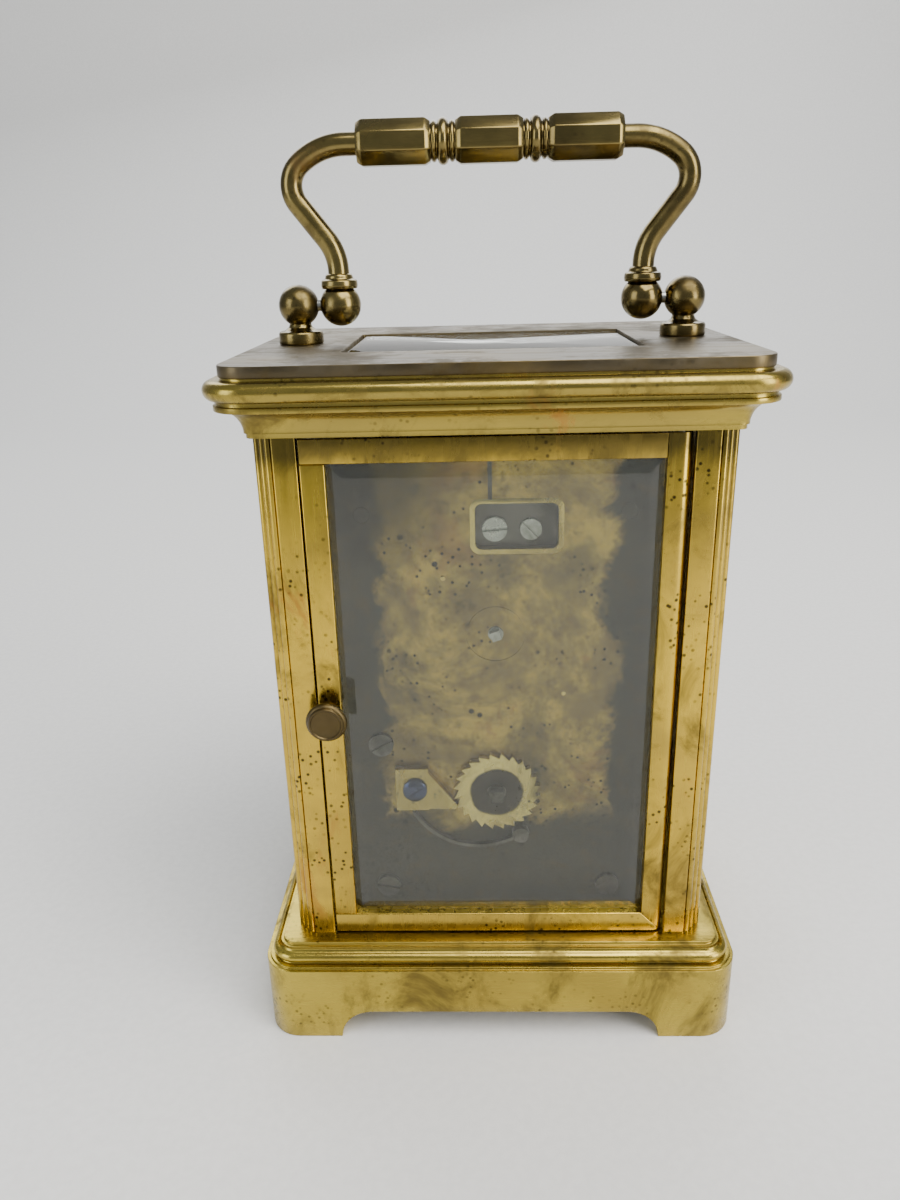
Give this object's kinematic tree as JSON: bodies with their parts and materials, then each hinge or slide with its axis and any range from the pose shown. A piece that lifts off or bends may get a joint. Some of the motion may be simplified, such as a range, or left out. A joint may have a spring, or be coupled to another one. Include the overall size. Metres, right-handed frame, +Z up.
{
  "type": "carriage clock",
  "caption": "Glazed brass carriage clock with a folding roof handle, a hinged rear door and a going movement with a lever platform escapement.",
  "frame": {"origin": "middle of the underside of the base, on the surface it stands on", "axes": "+Z up, the handle stands along it; +Y points out of the rear door, -Y out of the dial; +X to the right as the dial is read"},
  "size_m": [0.0806, 0.0682, 0.1459],
  "materials": {
    "case_brass": "satin yellow brass with tarnish specks and orange stains",
    "dull_brass": "olive brass, dulled, with fine hair scratches",
    "handle_bronze": "dark olive-bronze patina on brass",
    "knob_brass": "dull brown brass with a bright rim",
    "plate_brass": "mottled tarnished movement brass",
    "wheel_brass": "cut and polished wheel brass",
    "steel": "grained steel",
    "blued_steel": "heat-blued steel",
    "glass": "clear bevelled plate glass",
    "enamel": "white fired enamel dial"
  },
  "bodies": {
    "root": {"base": "dull_brass", "base_screws": "steel", "cornice": "dull_brass", "cornice_screws": "steel", "roof_plate": "dull_brass", "roof_glass": "glass", "pillar_front_left": "case_brass", "pillar_front_right": "case_brass", "pillar_rear_left": "case_brass", "pillar_rear_right": "case_brass", "front_glass": "glass", "left_glass": "glass", "right_glass": "glass", "handle_posts": "handle_bronze", "front_plate": "plate_brass", "back_plate": "plate_brass", "plate_pillars": "plate_brass", "pillar_screws": "steel", "movement_screws": "steel", "dial": "enamel", "click_screw": "blued_steel", "click_spring": "steel", "contrate_cock": "steel", "contrate_cock_screws": "steel", "platform": "plate_brass", "platform_screws": "steel", "escape_bridge": "plate_brass", "hairspring": "blued_steel", "balance_cock": "plate_brass"},
    "door": {"door_hinge_stile": "case_brass", "door_latch_stile": "case_brass", "door_top_rail": "case_brass", "door_bottom_rail": "case_brass", "door_glass": "glass", "door_knob": "knob_brass", "door_hinge_pins": "steel"},
    "handle": {"handle_arm_left": "handle_bronze", "handle_arm_right": "handle_bronze", "handle_grip": "handle_bronze", "handle_pins": "steel"},
    "minute_train": {"minute_hand": "blued_steel", "centre_arbor": "steel", "cannon_pinion": "steel"},
    "motion_wheel": {"minute_wheel": "wheel_brass"},
    "hour_train": {"hour_wheel": "wheel_brass", "hour_hand": "blued_steel"},
    "contrate": {"contrate_wheel": "wheel_brass"},
    "third": {"third_wheel": "wheel_brass"},
    "centre": {"centre_wheel": "wheel_brass"},
    "intermediate": {"intermediate_wheel": "wheel_brass"},
    "barrel": {"mainspring_barrel": "plate_brass", "barrel_cover": "plate_brass", "mainspring": "blued_steel"},
    "escape": {"escape_wheel": "wheel_brass"},
    "winding": {"winding_arbor": "steel", "ratchet_wheel": "wheel_brass"},
    "click_body": {"click": "wheel_brass"},
    "lever": {"pallet_lever": "steel"},
    "balance": {"balance_wheel": "wheel_brass"},
    "index": {"regulator_index": "steel"}
  },
  "joints": [
    {"name": "door_swing", "type": "hinge", "parent": "root", "child": "door", "pos_m": [-0.02612, 0.02686, 0.06], "axis": [0, 0, 1], "range_deg": [0, 95]},
    {"name": "handle_fold", "type": "hinge", "parent": "root", "child": "handle", "pos_m": [0, 0, 0.11915], "axis": [1, 0, 0], "range_deg": [-95, 95]},
    {"name": "minute_hand_turn", "type": "hinge", "parent": "root", "child": "minute_train", "pos_m": [0, 0, 0.0705], "axis": [0, 1, 0], "continuous": true},
    {"name": "minute_wheel_turn", "type": "hinge", "parent": "root", "child": "motion_wheel", "pos_m": [0, 0, 0.0621], "axis": [0, 1, 0], "continuous": true},
    {"name": "hour_hand_turn", "type": "hinge", "parent": "root", "child": "hour_train", "pos_m": [0, 0, 0.0705], "axis": [0, 1, 0], "continuous": true},
    {"name": "contrate_turn", "type": "hinge", "parent": "root", "child": "contrate", "pos_m": [0, 0, 0.0872], "axis": [0, 1, 0], "continuous": true},
    {"name": "third_turn", "type": "hinge", "parent": "root", "child": "third", "pos_m": [0.008, 0, 0.0797], "axis": [0, 1, 0], "continuous": true},
    {"name": "centre_turn", "type": "hinge", "parent": "root", "child": "centre", "pos_m": [0, 0, 0.0705], "axis": [0, 1, 0], "continuous": true},
    {"name": "intermediate_turn", "type": "hinge", "parent": "root", "child": "intermediate", "pos_m": [-0.0108, 0, 0.0599], "axis": [0, 1, 0], "continuous": true},
    {"name": "barrel_turn", "type": "hinge", "parent": "root", "child": "barrel", "pos_m": [0, 0, 0.0425], "axis": [0, 1, 0], "continuous": true},
    {"name": "escape_turn", "type": "hinge", "parent": "root", "child": "escape", "pos_m": [0, -0.0062, 0.1], "axis": [0, 0, 1], "continuous": true},
    {"name": "winding_turn", "type": "hinge", "parent": "root", "child": "winding", "pos_m": [0, 0, 0.0425], "axis": [0, 1, 0], "continuous": true},
    {"name": "click_lift", "type": "hinge", "parent": "root", "child": "click_body", "pos_m": [0.01355, 0.0228, 0.0433], "axis": [0, -1, 0], "range_deg": [0, 8], "stiffness_Nm_per_rad": 0.001, "springref_deg": -5.73},
    {"name": "lever_rock", "type": "hinge", "parent": "root", "child": "lever", "pos_m": [0, -0.0006, 0.1], "axis": [0, 0, 1], "range_deg": [-5, 5]},
    {"name": "balance_swing", "type": "hinge", "parent": "root", "child": "balance", "pos_m": [0, 0.0065, 0.1], "axis": [0, 0, 1], "range_deg": [-140, 140], "stiffness_Nm_per_rad": 0.0000019},
    {"name": "index_turn", "type": "hinge", "parent": "root", "child": "index", "pos_m": [0, 0.0065, 0.106], "axis": [0, 0, 1], "range_deg": [-12, 12]}
  ],
  "couplings": [
    {"joint": "minute_wheel_turn", "follows": "minute_hand_turn", "ratio": -0.33333},
    {"joint": "hour_hand_turn", "follows": "minute_hand_turn", "ratio": 0.083333},
    {"joint": "third_turn", "follows": "contrate_turn", "ratio": -0.13333},
    {"joint": "centre_turn", "follows": "contrate_turn", "ratio": 0.016667},
    {"joint": "intermediate_turn", "follows": "contrate_turn", "ratio": -0.0027778},
    {"joint": "barrel_turn", "follows": "contrate_turn", "ratio": 0.0005117},
    {"joint": "escape_turn", "follows": "contrate_turn", "ratio": 10}
  ]
}
